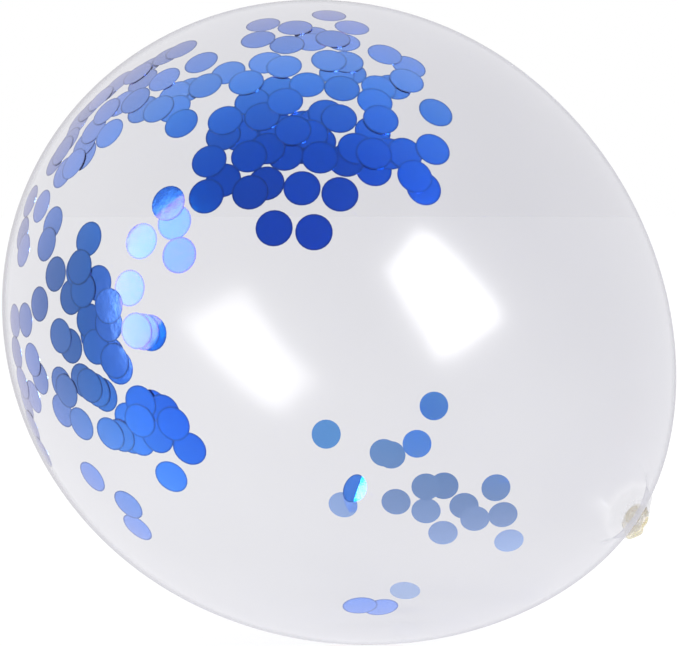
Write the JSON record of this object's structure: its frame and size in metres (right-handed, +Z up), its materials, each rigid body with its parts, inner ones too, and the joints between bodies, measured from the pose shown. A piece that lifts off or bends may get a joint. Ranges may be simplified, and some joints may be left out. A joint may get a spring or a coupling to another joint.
{
  "type": "confetti balloon",
  "caption": "Clear latex party balloon, blown up and knotted, lying on its side with a small flat spot under it.",
  "frame": {"origin": "centre of the flat spot that the balloon rests on", "axes": "+Z up, away from the surface it rests on; +X along the ground, the way the neck points; the balloon's own axis lies in the XZ plane, with the neck dipping 30 degrees"},
  "size_m": [0.3633, 0.3, 0.3072],
  "materials": {
    "clear_latex": "clear gloss, pale yellow where the latex is unstretched at the neck, knot and lip",
    "blue_foil": "metallic blue foil film"
  },
  "bodies": {
    "root": {"balloon": "clear_latex"}
  },
  "joints": []
}
